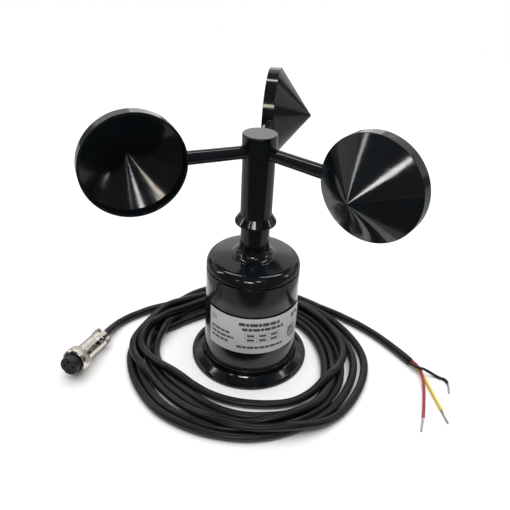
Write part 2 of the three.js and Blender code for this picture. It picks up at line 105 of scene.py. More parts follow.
# ---- materials ----------------------------------------------------------------------------------------
class Shading:
    """A node material that is filled in by short calls."""

    def __init__(self, name):
        self.material = bpy.data.materials.new(name)
        self.material.use_nodes = True
        self.tree = self.material.node_tree
        self.shader = self.tree.nodes["Principled BSDF"]
        self.place = self.add("ShaderNodeTexCoord").outputs["Object"]

    def add(self, kind, **settings):
        node = self.tree.nodes.new(kind)
        for key, value in settings.items():
            setattr(node, key, value)
        return node

    def link(self, source, target):
        self.tree.links.new(source, target)

    def set(self, **values):
        for key, value in values.items():
            self.shader.inputs[key.replace("_", " ")].default_value = value

    def noise(self, scale, detail=3.0, roughness=0.5):
        node = self.add("ShaderNodeTexNoise")
        node.inputs["Scale"].default_value = scale
        node.inputs["Detail"].default_value = detail
        node.inputs["Roughness"].default_value = roughness
        self.link(self.place, node.inputs["Vector"])
        return node.outputs["Fac"]

    def ramp(self, factor, low, high, start=0.35, end=0.65):
        node = self.add("ShaderNodeValToRGB")
        node.color_ramp.elements[0].position = start
        node.color_ramp.elements[1].position = end
        node.color_ramp.elements[0].color = (*low, 1)
        node.color_ramp.elements[1].color = (*high, 1)
        self.link(factor, node.inputs["Fac"])
        return node.outputs["Color"]

    def span(self, factor, low, high, start=0.3, end=0.7):
        node = self.add("ShaderNodeMapRange")
        for key, value in (("From Min", start), ("From Max", end), ("To Min", low), ("To Max", high)):
            node.inputs[key].default_value = value
        self.link(factor, node.inputs["Value"])
        return node.outputs["Result"]

    def bump(self, height, strength, distance):
        node = self.add("ShaderNodeBump")
        node.inputs["Strength"].default_value = strength
        node.inputs["Distance"].default_value = distance
        self.link(height, node.inputs["Height"])
        self.link(node.outputs["Normal"], self.shader.inputs["Normal"])


def moulded_plastic(name, low, high, rough_low, rough_high, wave=60, orange_peel=0.06):
    s = Shading(name)
    s.link(s.ramp(s.noise(wave), low, high), s.shader.inputs["Base Color"])
    s.link(s.span(s.noise(wave * 2.3, 5), rough_low, rough_high), s.shader.inputs["Roughness"])
    s.bump(s.noise(260, 2), orange_peel, 0.0004)
    s.set(IOR=1.5)
    return s.material


def plated_metal(name, low, high, rough_low, rough_high, wave=180):
    s = Shading(name)
    s.link(s.ramp(s.noise(wave, 4), low, high), s.shader.inputs["Base Color"])
    s.link(s.span(s.noise(wave * 1.7, 5), rough_low, rough_high), s.shader.inputs["Roughness"])
    s.bump(s.noise(900, 3), 0.08, 0.0002)
    s.set(Metallic=1.0)
    return s.material


def sheath(name, low, high, rough=0.38, wave=90):
    s = Shading(name)
    s.link(s.ramp(s.noise(wave, 4), low, high), s.shader.inputs["Base Color"])
    s.link(s.span(s.noise(wave * 3, 4), rough - 0.06, rough + 0.08), s.shader.inputs["Roughness"])
    s.bump(s.noise(1400, 3), 0.12, 0.0003)
    s.set(IOR=1.42)
    return s.material


GLOSS = moulded_plastic("black_gloss", (0.0035, 0.0048, 0.0060), (0.0052, 0.0072, 0.0086), 0.09, 0.15)
MATT = moulded_plastic("black_matt", (0.010, 0.010, 0.011), (0.018, 0.018, 0.020), 0.42, 0.55, orange_peel=0.2)
RUBBER = moulded_plastic("seal_rubber", (0.006, 0.006, 0.006), (0.012, 0.012, 0.012), 0.6, 0.75, orange_peel=0.3)
JACKET = sheath("jacket", (0.0035, 0.0036, 0.0038), (0.0070, 0.0071, 0.0073), 0.34)
BLACK_WIRE = sheath("black_insulation", (0.006, 0.006, 0.006), (0.011, 0.011, 0.011))
RED_WIRE = sheath("red_insulation", (0.30, 0.028, 0.040), (0.40, 0.045, 0.055))
YELLOW_WIRE = sheath("yellow_insulation", (0.62, 0.47, 0.06), (0.74, 0.56, 0.09))
NICKEL = plated_metal("nickel", (0.70, 0.655, 0.58), (0.78, 0.735, 0.66), 0.16, 0.26)
STEEL = plated_metal("bright_steel", (0.50, 0.51, 0.53), (0.62, 0.63, 0.65), 0.22, 0.34)
BRASS = plated_metal("turned_brass", (0.55, 0.41, 0.16), (0.66, 0.50, 0.22), 0.25, 0.36)
TINNED = plated_metal("tinned_copper", (0.52, 0.52, 0.50), (0.68, 0.67, 0.64), 0.25, 0.4, 600)
FILM = moulded_plastic("label_film", (0.58, 0.59, 0.58), (0.64, 0.645, 0.63), 0.34, 0.42, 40, 0.03)
INK = moulded_plastic("label_ink", (0.035, 0.035, 0.038), (0.075, 0.075, 0.08), 0.4, 0.5, 900, 0.03)
FADED_INK = moulded_plastic("faded_ink", (0.20, 0.20, 0.20), (0.27, 0.27, 0.265), 0.4, 0.5, 900, 0.03)
BOARD = moulded_plastic("solder_mask", (0.008, 0.075, 0.030), (0.014, 0.11, 0.045), 0.25, 0.4)

INNER_FINISHES = {
    "steel": STEEL,
    "brass": BRASS,
    "circuit_board": BOARD,
    "black_plastic": GLOSS,
    "matt_black_plastic": MATT,
    "rubber_seal": RUBBER,
    "cable_jacket": JACKET,
    "nickel_plate": NICKEL,
    "label_film": FILM,
    "black_wire": BLACK_WIRE,
    "red_wire": RED_WIRE,
    "yellow_wire": YELLOW_WIRE,
}
SLOT_OF = {part["node"]: part["material_slot"] for part in frame["record"]["subparts"]}


def finish_cad_nodes():
    for name, obj in frame["nodes"].items():
        for slot in obj.material_slots:
            slot.material = INNER_FINISHES[SLOT_OF[name]]


finish_cad_nodes()


# ---- mesh building ------------------------------------------------------------------------------------
def rounded(outline, arc_steps=5):
    """A closed outline of (radius, height) or (radius, height, fillet) points, its fillets as arcs."""
    points = []
    count = len(outline)
    for i, corner in enumerate(outline):
        here = np.array(corner[:2], float)
        fillet = corner[2] if len(corner) > 2 else 0
        if not fillet:
            points.append(here)
            continue
        before = np.array(outline[i - 1][:2], float) - here
        after = np.array(outline[(i + 1) % count][:2], float) - here
        before_length, after_length = np.linalg.norm(before), np.linalg.norm(after)
        before, after = before / before_length, after / after_length
        half = math.acos(max(-1, min(1, float(before @ after)))) / 2
        reach = min(fillet / math.tan(half), 0.45 * before_length, 0.45 * after_length)
        radius = reach * math.tan(half)
        middle = before + after
        centre = here + middle / np.linalg.norm(middle) * radius / math.sin(half)
        first, last = here + before * reach - centre, here + after * reach - centre
        support = min(0.15, 0.1 * reach + 0.02)
        points.append(here + before * (reach + support))
        for k in range(arc_steps + 1):
            blend = first * (1 - k / arc_steps) + last * (k / arc_steps)
            points.append(centre + blend / np.linalg.norm(blend) * radius)
        points.append(here + after * (reach + support))
    return points


def revolved(outline, sides=128):
    """Vertices and faces of a closed outline turned about Z."""
    vertices, rings = [], []
    angles = np.arange(sides) * 2 * math.pi / sides
    for radius, height in outline:
        if radius < 1e-6:
            rings.append([len(vertices)] * sides)
            vertices.append((0, 0, height))
        else:
            rings.append(list(range(len(vertices), len(vertices) + sides)))
            vertices += [(radius * math.cos(a), radius * math.sin(a), height) for a in angles]
    faces = []
    for low, high in zip(rings, rings[1:] + rings[:1]):
        if low[0] == low[1] and high[0] == high[1]:
            continue
        for j in range(sides):
            k = (j + 1) % sides
            face = (low[j], low[k], high[k], high[j])
            faces.append(tuple(dict.fromkeys(face)))
    return vertices, faces


def mesh_of(name, vertices, faces):
    mesh = bpy.data.meshes.new(name)
    mesh.from_pydata([tuple(c * MM for c in v) for v in vertices], [], faces)
    tidy(mesh)
    return mesh


def tidy(mesh):
    bm = bmesh.new()
    bm.from_mesh(mesh)
    bmesh.ops.remove_doubles(bm, verts=bm.verts, dist=1e-7)
    bmesh.ops.recalc_face_normals(bm, faces=bm.faces)
    bm.to_mesh(mesh)
    bm.free()


def turned(name, outline, sides=128):
    return mesh_of(name, *revolved(rounded(outline), sides))


def rod(name, radius, low, high, sides=64, fillet=0.2):
    fillet = min(fillet, radius / 2)
    return turned(name, [(0, low), (radius, low, fillet), (radius, high, fillet), (0, high)], sides)


def ring(name, inner, outer, low, high, sides=96, fillet=0.15):
    outline = [(inner, low, fillet), (outer, low, fillet), (outer, high, fillet), (inner, high, fillet)]
    return turned(name, outline, sides)


def block(name, size, centre, bevel=0.3):
    bm = bmesh.new()
    bmesh.ops.create_cube(bm, size=1, matrix=Matrix.Diagonal((*(s * MM for s in size), 1)))
    bmesh.ops.bevel(bm, geom=bm.edges[:], offset=bevel * MM, segments=3, profile=0.5, affect="EDGES")
    bmesh.ops.translate(bm, verts=bm.verts, vec=Vector(centre) * MM)
    mesh = bpy.data.meshes.new(name)
    bm.to_mesh(mesh)
    bm.free()
    return mesh


def moved(mesh, matrix):
    mesh.transform(matrix)
    return mesh


def shift(x=0, y=0, z=0):
    return Matrix.Translation((x * MM, y * MM, z * MM))


def turn(angle, axis):
    return Matrix.Rotation(math.radians(angle), 4, axis)


ALONG_X = turn(90, "Y")
ALONG_Y = turn(-90, "X")


def combined(base, steps):
    """Applies (operation, mesh) boolean steps to a mesh and gives the result back."""
    obj = bpy.data.objects.new("blank", base)
    bpy.context.scene.collection.objects.link(obj)
    for operation, tool_mesh in steps:
        tool = bpy.data.objects.new("tool", tool_mesh)
        bpy.context.scene.collection.objects.link(tool)
        modifier = obj.modifiers.new("join", "BOOLEAN")
        modifier.operation = operation
        modifier.solver = "EXACT"
        modifier.object = tool
        result = bpy.data.meshes.new_from_object(obj.evaluated_get(bpy.context.evaluated_depsgraph_get()))
        obj.modifiers.clear()
        obj.data = result
        bpy.data.objects.remove(tool)
    result = obj.data
    bpy.data.objects.remove(obj)
    tidy(result)
    return result


def finished(name, mesh, finish, body, nodes=(), even=True):
    """A piece made of a mesh: its shading, finish, body and the CAD nodes that it stands for."""
    mesh.name = name
    mesh.shade_smooth()
    mesh.set_sharp_from_angle(angle=SHARP)
    mesh.materials.clear()
    for one in finish if isinstance(finish, (list, tuple)) else [finish]:
        mesh.materials.append(one)
    piece = bpy.data.objects.new(name, mesh)
    bpy.context.scene.collection.objects.link(piece)
    if even:
        weighted = piece.modifiers.new("even_normals", "WEIGHTED_NORMAL")
        weighted.keep_sharp = True
        weighted.weight = 80
    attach(piece, body)
    if nodes:
        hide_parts(*nodes)
    return piece


def gloss_part(name, mesh, body, node):
    return finished(name, mesh, GLOSS, body, [node])


def seal(name, mesh, node):
    return finished(name, mesh, RUBBER, "sensor_body", [node])


# ---- cable --------------------------------------------------------------------------------------------
PLUG_LEAD = [
    (-102.8, 0.7, 5.95),
    (-101.5, 4.8, 5.3),
    (-99.5, 11.6, 4.1),
    (-96.6, 18.1, 3.2),
    (-92.3, 24, 2.85),
    (-87.2, 29.2, 2.8),
    (-81.5, 34.1, 2.8),
    (-74.6, 38.8, 2.8),
]
TAIL_LEAD = [
    (75.1, 36.5, 2.8),
    (79.6, 33.2, 2.8),
    (85.3, 28.2, 2.8),
    (91.8, 21.7, 2.8),
    (98.1, 14.4, 2.8),
    (104, 6.6, 2.8),
    (109.8, -1.6, 2.8),
    (114.8, -9.6, 2.8),
]
COIL_CENTRE = (0, -8)
# Each turn runs clockwise from the back left, with its radius at every 45 degrees and how many cables
# it lies above there.
TURN_START, TURN_STEP = 135, -45
TURN_RADII = [
    (78.5, 77, 69.5, 73.3, 72.2, 73.6, 77.5, 81.5),
    (73, 71.6, 75, 80.8, 77.8, 69.8, 64.5, 81),
    (71, 67.5, 66.5, 66, 54.8, 46.5, 48.5, 76),
    (65, 66, 63.5, 64, 66.3, 67.8, 73.5, 76.5),
    (57, 54, 53, 52.6, 62.4, 57, 54.5, 65.5),
    (66, 60, 58, 58, 64.6, 62.4, 60, 71),
    (75.5, 81.5, 80.5),
]
TURN_LAYERS = [
    (0, 0, 0, 0, 0, 0, 0.6, 0),
    (0, 0, 0, 0, 0.6, 1, 0, 1.2),
    (1, 1, 1, 1.2, 0.6, 0, 0, 1.5),
    (1, 0, 0, 0, 0, 0, 0, 0),
    (0, 0, 0, 0, 0, 0, 0, 0.2),
    (0, 0, 0, 0, 1, 0, 0, 0.2),
    (1, 0, 0),
]
LAYER_RISE = 4.8
SETTLE_STEP, CURVE_STEP, WIRE_STEP = 3.0, 1.6, 0.6
SETTLE_ROUNDS, SEARCH_EVERY = 240, 8
# For each round: the fall, how the line straightens (points apart, share), and the pull to its plan.
FALL, STRAIGHTENING, PLAN_PULL = 0.03, ((1, 0.2), (4, 0.03)), 0.12
# Points held still at the plug and at the tail, and how far apart along the line two points may touch.
PLUG_HELD, TAIL_HELD, APART = 12, 22, 7


def spline_through(controls, step):
    """Points evenly spaced on a Catmull-Rom curve through the controls."""
    controls = np.array(controls, float)
    padded = np.vstack([2 * controls[0] - controls[1], controls, 2 * controls[-1] - controls[-2]])
    fine = []
    for a, b, c, d in zip(padded, padded[1:], padded[2:], padded[3:]):
        for t in np.linspace(0, 1, 24, endpoint=False):
            fine.append(
                0.5 * (2 * b + (c - a) * t + (2 * a - 5 * b + 4 * c - d) * t**2 + (3 * b - a - 3 * c + d) * t**3)
            )
    fine.append(controls[-1])
    return respaced(np.array(fine), step)


def respaced(points, step):
    lengths = np.concatenate([[0], np.cumsum(np.linalg.norm(np.diff(points, axis=0), axis=1))])
    count = max(2, round(lengths[-1] / step) + 1)
    marks = np.linspace(0, lengths[-1], count)
    return np.stack([np.interp(marks, lengths, points[:, k]) for k in range(3)], axis=1)


def coil_controls():
    controls = []
    for radii, layers in zip(TURN_RADII, TURN_LAYERS):
        for station, (radius, layer) in enumerate(zip(radii, layers)):
            angle = math.radians(TURN_START + TURN_STEP * station)
            x = COIL_CENTRE[0] + radius * math.cos(angle)
            y = COIL_CENTRE[1] + radius * math.sin(angle)
            controls.append((x, y, CABLE_R + LAYER_RISE * layer))
    return controls


def neighbours(points, reach):
    gaps = np.linalg.norm(points[:, None] - points[None], axis=2)
    return np.nonzero(np.triu(gaps < reach, APART))


def settled(points):
    """Lays a cable down under its weight: it keeps its length, stays round and lies on itself."""
    points = points.copy()
    aim = points[:, :2].copy()
    rest = np.linalg.norm(np.diff(points, axis=0), axis=1)
    held = np.zeros(len(points), bool)
    held[:PLUG_HELD] = True
    held[-TAIL_HELD:] = True
    fixed = points[held].copy()
    thick = 2 * CABLE_R
    for settle_round in range(SETTLE_ROUNDS):
        if settle_round % SEARCH_EVERY == 0:
            first, second = neighbours(points, thick + 2.5)
        points[:, 2] -= FALL
        for reach, pull in STRAIGHTENING:
            middle = (points[: -2 * reach] + points[2 * reach :]) / 2
            points[reach:-reach] += pull * (middle - points[reach:-reach])
        points[:, :2] += PLAN_PULL * (aim - points[:, :2])
        for _ in range(2):
            step = np.diff(points, axis=0)
            length = np.linalg.norm(step, axis=1)
            push = step * (0.25 * (length - rest) / length)[:, None]
            points[:-1] += push
            points[1:] -= push
        for _ in range(3):
            gap = points[first] - points[second]
            distance = np.linalg.norm(gap, axis=1)
            push = gap * (0.4 * np.clip(thick - distance, 0, None) / np.maximum(distance, 1e-6))[:, None]
            np.add.at(points, first, push)
            np.add.at(points, second, -push)
            clear_flange(points)
            points[:, 2] = np.maximum(points[:, 2], CABLE_R)
        points[held] = fixed
    return points


def clear_flange(points):
    clear = FLANGE_R + CABLE_R + GAP
    radius = np.hypot(points[:, 0], points[:, 1])
    near = (radius < clear) & (points[:, 2] < FLANGE_TOP - 0.2)
    points[near, :2] *= (clear / radius[near])[:, None]


def curve_of(name, points, radius, finish, sides=8):
    data = bpy.data.curves.new(name, "CURVE")
    data.dimensions = "3D"
    data.bevel_depth = radius * MM
    data.bevel_resolution = sides
    data.use_fill_caps = True
    line = data.splines.new("POLY")
    line.points.add(len(points) - 1)
    for knot, point in zip(line.points, points):
        knot.co = (*(float(c) * MM for c in point), 1)
    line.use_smooth = True
    data.materials.append(finish)
    piece = bpy.data.objects.new(name, data)
    bpy.context.scene.collection.objects.link(piece)
    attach(piece, "sensor_body")
    return piece


cable_line = settled(spline_through(PLUG_LEAD + coil_controls() + TAIL_LEAD, SETTLE_STEP))
cable_line = spline_through(cable_line[::2], CURVE_STEP)
cable = curve_of("cable", cable_line, CABLE_R, JACKET)
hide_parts("cable_coil", "cable_lead_plug", "cable_lead_tail")

# ---- wires --------------------------------------------------------------------------------------------
# For each core: its route, the length of its bare end, its finish and its material slot.
WIRES = {
    "wire_black": (
        [
            (111.2, -6.2, 2.9),
            (113.8, -10.2, 3),
            (114.8, -12.2, 3.7),
            (116, -14.3, 4.7),
            (117.9, -15.9, 5.2),
            (120.3, -16.6, 5.1),
            (124.5, -17, 3),
            (128, -17.9, 1.4),
            (131, -19.9, 1.05),
            (134.1, -21.4, 1.05),
            (135.5, -25.2, 1.05),
            (134.9, -30.6, 1.05),
            (134, -33.9, 1.05),
        ],
        9.5,
        BLACK_WIRE,
        "black_wire",
    ),
    "wire_red": (
        [
            (112.9, -5, 3.7),
            (115.6, -9.1, 3.8),
            (117, -10.9, 3.5),
            (118.1, -13.4, 3.2),
            (118.8, -17.1, 3.15),
            (118.6, -22.6, 3),
            (118.2, -28, 2.1),
            (117.1, -35.2, 1.2),
            (115, -44.2, 1.1),
            (113.3, -51, 1.05),
            (111.2, -58.4, 1.05),
            (108.1, -67.6, 1.05),
        ],
        11.5,
        RED_WIRE,
        "red_wire",
    ),
    "wire_yellow": (
        [
            (112.4, -5.4, 1.7),
            (115.1, -9.4, 1.6),
            (117, -11.4, 1.2),
            (118.5, -13.8, 1.05),
            (119.5, -16.8, 1.05),
            (120.4, -20.6, 1.05),
            (121.4, -25.6, 1.05),
            (122.6, -34.8, 1.05),
            (123.9, -42.9, 1.05),
            (125.1, -50.2, 1.05),
            (126.6, -60.1, 1.05),
        ],
        10,
        YELLOW_WIRE,
        "yellow_wire",
    ),
}


def tube_mesh(name, lines, radius, sides=10):
    """One mesh of closed round tubes along several lines."""
    vertices, faces = [], []
    for line in lines:
        line = np.array(line)
        ahead = np.gradient(line, axis=0)
        ahead /= np.linalg.norm(ahead, axis=1)[:, None]
        side = np.cross(ahead, (0.13, 0.21, 0.97))
        side /= np.linalg.norm(side, axis=1)[:, None]
        up = np.cross(side, ahead)
        start = len(vertices)
        for point, s, u in zip(line, side, up):
            for k in range(sides):
                angle = 2 * math.pi * k / sides
                vertices.append(tuple(point + radius * (math.cos(angle) * s + math.sin(angle) * u)))
        for i in range(len(line) - 1):
            for k in range(sides):
                a, b = start + i * sides + k, start + i * sides + (k + 1) % sides
                faces.append((a, b, b + sides, a + sides))
        faces.append(tuple(start + k for k in range(sides)))
        last = start + (len(line) - 1) * sides
        faces.append(tuple(last + k for k in range(sides)))
    return mesh_of(name, vertices, faces)


def stranded_tip(name, line, strand_r=0.24, count=6):
    """A bare wire end: strands twisted around a middle one."""
    line = np.array(line)
    ahead = np.gradient(line, axis=0)
    ahead /= np.linalg.norm(ahead, axis=1)[:, None]
    side = np.cross(ahead, (0, 0, 1))
    up = np.cross(side, ahead)
    along = np.concatenate([[0], np.cumsum(np.linalg.norm(np.diff(line, axis=0), axis=1))])
    lines = [line]
    for k in range(count):
        angle = 2 * math.pi * k / count + along * 0.9
        spread = 2 * strand_r * (1 - 0.25 * along / along[-1])
        lines.append(line + (spread * np.cos(angle))[:, None] * side + (spread * np.sin(angle))[:, None] * up)
    return tube_mesh(name, lines, strand_r, 8)


def add_wires():
    for name, (route, bare, finish, slot) in WIRES.items():
        line = spline_through(route, WIRE_STEP)
        cut_at = len(line) - round(bare / WIRE_STEP)
        wire = curve_of(name + "_sheath", line[:cut_at], WIRE_R, finish, 6)
        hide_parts(name)
        tip_line = line[cut_at - 2 :] - (0, 0, 0.25)
        tip_mesh = stranded_tip(name + "_tip", tip_line)
        tip = finished(name + "_tip", tip_mesh, TINNED, "sensor_body", even=False)


add_wires()


# ---- base, housing and neck ---------------------------------------------------------------------------
def three_around(mesh, radius, first=30):
    return [moved(mesh.copy(), turn(first + 120 * k, "Z") @ shift(x=radius)) for k in range(3)]


def add_base():
    outline = [
        (0, 0),
        (FLANGE_R, 0, 0.35),
        (FLANGE_R, FLANGE_RIM, 0.5),
        (CONE_FOOT, FLANGE_RIM, 0.4),
        (COLLAR_R + 0.7, CONE_TOP, 0.4),
        (COLLAR_R, CONE_TOP + 0.8, 0.3),
        (COLLAR_R, FLANGE_TOP, 0.45),
        (SPIGOT_R, FLANGE_TOP),
        (SPIGOT_R, SPIGOT_TOP, 0.3),
        (SPIGOT_R - 2, SPIGOT_TOP, 0.3),
        (SPIGOT_R - 2, FLANGE_FLOOR, 0.4),
        (0, FLANGE_FLOOR),
    ]
    sink = turned("sink", [(0, -1), (4.2, -1), (3.9, 0.6), (1.9, 2.4), (1.9, 5), (0, 5)], 48)
    mesh = combined(turned("flange", outline, 192), [("DIFFERENCE", m) for m in three_around(sink, 18)])
    gloss_part("flange", mesh, "sensor_body", "base_flange")
    seal("flange_seal", ring("seal", 29.2, 31.4, 9.5, 10.1, 160, 0.2), "base_seal")


def add_housing():
    outline = [
        (HOUSING_R_LOW - HOUSING_WALL, HOUSING_BOTTOM, 0.2),
        (HOUSING_R_LOW, HOUSING_BOTTOM, 0.5),
        (HOUSING_R_HIGH, HOUSING_TOP, 0.45),
        (HOUSING_R_HIGH - HOUSING_WALL, HOUSING_TOP, 0.2),
    ]
    pad = turned("pad", [(0, 27), (PAD_R, 27), (PAD_R, SOCKET_FACE, 0.8), (0, SOCKET_FACE)], 96)
    core = turned("core", [(0, 0), (28.4, 0), (28.4, 80), (0, 80)], 192)
    bore = rod("bore", THREAD_R + GAP, 20, 40, 64)
    up = shift(z=SOCKET_HEIGHT)
    padded = combined(moved(pad, up @ ALONG_Y), [("DIFFERENCE", core)])
    mesh = combined(
        turned("shell", outline, 192),
        [("UNION", padded), ("DIFFERENCE", moved(bore, up @ ALONG_Y))],
    )
    gloss_part("sensor_housing", mesh, "sensor_body", "housing")


def add_cap():
    centre = CAP_R - SHOULDER_R
    shoulder = []
    for angle in range(0, 91, 6):
        a = math.radians(angle)
        shoulder.append((centre + SHOULDER_R * math.cos(a), SHOULDER_FOOT + SHOULDER_R * math.sin(a)))
    outline = [
        (27.7, CAP_EDGE),
        (CAP_R, CAP_EDGE, 0.15),
        *shoulder,
        (centre - 3.2, CAP_TOP, 2),
        (NECK_R + GAP, FLARE_FOOT - 0.05),
        (NECK_R + GAP, 66),
        (11.5, 66),
        (11.5, 78.4),
        (23.2, 77.6),
        (25.7, 75),
        (25.7, 64),
        (27.7, 64),
    ]
    gloss_part("domed_cap", turned("cap", outline, 192), "sensor_body", "top_cap")
    seal("cap_ring", ring("cap_ring", 28, 29.6, 72.7, 73.3, 160, 0.2), "cap_seal")


def add_neck():
    waist = NECK_R + FLARE_THICK
    middle = (waist + FLARE_R, FLARE_FOOT + FLARE_R)
    flare = []
    for angle in range(86, 3, -6):
        a = math.radians(angle)
        flare.append((middle[0] - FLARE_R * math.cos(a), middle[1] - FLARE_R * math.sin(a)))
    ring_outline = [
        (NECK_R + GAP, FLARE_FOOT - 0.05),
        (middle[0], FLARE_FOOT - 0.2),
        *flare,
        (waist, FLARE_TOP, 0.15),
        (NECK_R + GAP, FLARE_TOP),
    ]
    gloss_part("neck_ring", turned("ring", ring_outline, 128), "sensor_body", "neck_collar")
    tube = [
        (5.8, 62),
        (NECK_R, 62, 0.2),
        (NECK_R, NECK_SHOULDER, 0.4),
        (NOSE_R, NECK_SHOULDER),
        (NOSE_R, NECK_TOP, 0.2),
        (5.8, NECK_TOP),
        (5.8, 136.2),
        (4.3, 136.2),
        (4.3, 66.3),
        (5.8, 66.3),
    ]
    gloss_part("neck", turned("neck", tube, 96), "sensor_body", "neck_tube")


# ---- rotor --------------------------------------------------------------------------------------------
def arm_frame(azimuth):
    return shift(z=HUB_SEAM) @ turn(azimuth, "Z")


def arm_notches():
    tool = moved(rod("notch", ARM_THIN + 0.12, 1, 20, 64), ALONG_X)
    return [("DIFFERENCE", moved(tool.copy(), arm_frame(azimuth))) for azimuth in ARM_AZIMUTHS]


def add_hub():
    sleeve = [
        (HUB_BORE, HUB_BOTTOM, 0.2),
        (HUB_R, HUB_BOTTOM, 0.25),
        (HUB_R, HUB_SEAM - 0.08, 0.18),
        (5, HUB_SEAM - 0.08),
        (5, 145.7),
        (2.8, 145.7),
        (2.8, 141.3),
        (HUB_BORE, 141.3),
    ]
    gloss_part("hub_tube", combined(turned("sleeve", sleeve, 128), arm_notches()), "rotor", "hub_sleeve")
    cap = [
        (5, HUB_SEAM + 0.08),
        (HUB_CAP_R, HUB_SEAM + 0.08, 0.25),
        (HUB_CAP_R, HUB_TOP, 0.7),
        (0, HUB_TOP),
        (0, 157),
        (5, 157),
    ]
    gloss_part("hub_lid", combined(turned("lid", cap, 128), arm_notches()), "rotor", "hub_cap")
    skirt = [
        (HUB_R + 0.1, SKIRT_BOTTOM, 0.2),
        (SKIRT_R, SKIRT_BOTTOM, 0.3),
        (SKIRT_R, SKIRT_BOTTOM + SKIRT_RIM, 0.45),
        (HUB_R + 0.4, SKIRT_TOP, 0.3),
        (HUB_R + 0.1, SKIRT_TOP),
    ]
    gloss_part("skirt", turned("skirt", skirt, 128), "rotor", "rain_skirt")


def cup_mesh():
    """A conical cup about +Z, its mouth low, as in the CAD, with the spigot for its arm on -X."""
    rise = (CUP_APEX - CUP_FOLD) / CUP_R
    skin = CUP_WALL * math.hypot(1, rise)
    inner = CUP_R - CUP_WALL
    shell = [
        (inner, CUP_MOUTH, 0.3),
        (CUP_R, CUP_MOUTH, 0.3),
        (CUP_R, CUP_FOLD, 0.5),
        (0.35, CUP_APEX - 0.35 * rise),
        (0.15, CUP_APEX - 0.2),
        (0, CUP_APEX - 0.15),
        (0, CUP_APEX - skin - 0.2),
        (0.3, CUP_APEX - skin - 0.3 * rise - 0.05),
        (inner, CUP_APEX - skin - inner * rise, 0.5),
    ]
    void = [
        (0, CUP_MOUTH - 2),
        (inner, CUP_MOUTH - 2),
        (inner, CUP_APEX - skin - inner * rise),
        (0, CUP_APEX - skin),
    ]
    stub = moved(rod("stub", STUB_R, STUB_FROM, CUP_AT - CUP_R + 3, 64, 0.3), shift(x=-CUP_AT) @ ALONG_X)
    trimmed = combined(stub, [("DIFFERENCE", turned("void", void, 160))])
    return combined(turned("shell", shell, 160), [("UNION", trimmed)])


def arm_mesh():
    """A round arm along +X that widens to the cup, whose outer end is shaped to the cup's side."""
    room = [
        (0, CUP_MOUTH - 2),
        (CUP_R + 0.04, CUP_MOUTH - 2),
        (CUP_R + 0.04, CUP_FOLD),
        (0, CUP_APEX + 0.2),
    ]
    outline = [
        (0, ARM_INNER),
        (ARM_THIN, ARM_INNER, 0.2),
        (ARM_THIN, 12),
        (ARM_R, ARM_OUTER - 5),
        (ARM_R, ARM_OUTER),
        (0, ARM_OUTER),
    ]
    arm = moved(turned("arm", outline, 96), ALONG_X)
    bore = moved(rod("bore", STUB_R + 0.05, STUB_FROM - 0.3, ARM_OUTER + 1, 48, 0.1), ALONG_X)
    cup_room = moved(turned("room", room, 160), shift(x=CUP_AT) @ turn(90, "X"))
    return combined(arm, [("DIFFERENCE", cup_room), ("DIFFERENCE", bore)])


def add_arms_and_cups():
    arm = arm_mesh()
    cup = moved(cup_mesh(), shift(x=CUP_AT) @ turn(90, "X"))
    for i, azimuth in enumerate(ARM_AZIMUTHS, 1):
        place = arm_frame(azimuth)
        gloss_part(f"spoke_{i}", moved(arm.copy(), place), "rotor", f"arm_{i}")
        gloss_part(f"wind_cup_{i}", moved(cup.copy(), place), "rotor", f"cup_{i}")


add_base()
add_housing()
add_cap()
add_neck()
add_hub()
add_arms_and_cups()


# ---- label --------------------------------------------------------------------------------------------
# Generic marks as (azimuth from, azimuth to, height from, height to, faded): bars and a grid, no lettering.
def label_marks():
    marks = [(54.5, 59, 45, 48.8, False), (61, 66.5, 46, 48.8, False)]
    marks += [(-50, -42.5, 44.6 + 0.9 * k, 45.1 + 0.9 * k, True) for k in range(4)]
    words = [
        (47.1, -13, 36, 2.5, (7.5, 3.6, 9, 4, 8)),
        (43.3, -9, 41, 2.2, (6.5, 4.4, 8, 3.6, 7)),
        (38.4, -50, -24, 1.7, (5.4, 7.2)),
        (34.8, -50, -19, 1.7, (7.6, 4.8)),
        (31.2, -50, -26, 1.7, (5, 6.6)),
        (29.0, -15, 42, 1.8, (6, 4.4, 8, 5)),
    ]
    for height, start, end, tall, pattern in words:
        azimuth, k = start, 0
        while azimuth < end:
            width = pattern[k % len(pattern)]
            marks.append((azimuth, min(azimuth + width, end), height - tall / 2, height + tall / 2, False))
            azimuth += width + 0.9
            k += 1
    for height in (40.2, 36.8, 33.2):
        marks.append((-6, 36, height - 0.15, height + 0.15, True))
    for azimuth in (-6, 8, 22, 35.6):
        marks.append((azimuth, azimuth + 0.45, 33.2, 40.2, True))
    for height in (38.5, 35):
        for column in range(3):
            start = -3 + 14 * column
            marks.append((start, start + 8.5, height - 0.8, height + 0.8, False))
    for row in range(5):
        for column in range(4):
            if (row * 3 + column * 2) % 5 != 0:
                start = 50 + 3.4 * column
                marks.append((start, start + 2.9, 29.6 + 1.9 * row, 31.2 + 1.9 * row, False))
    return marks


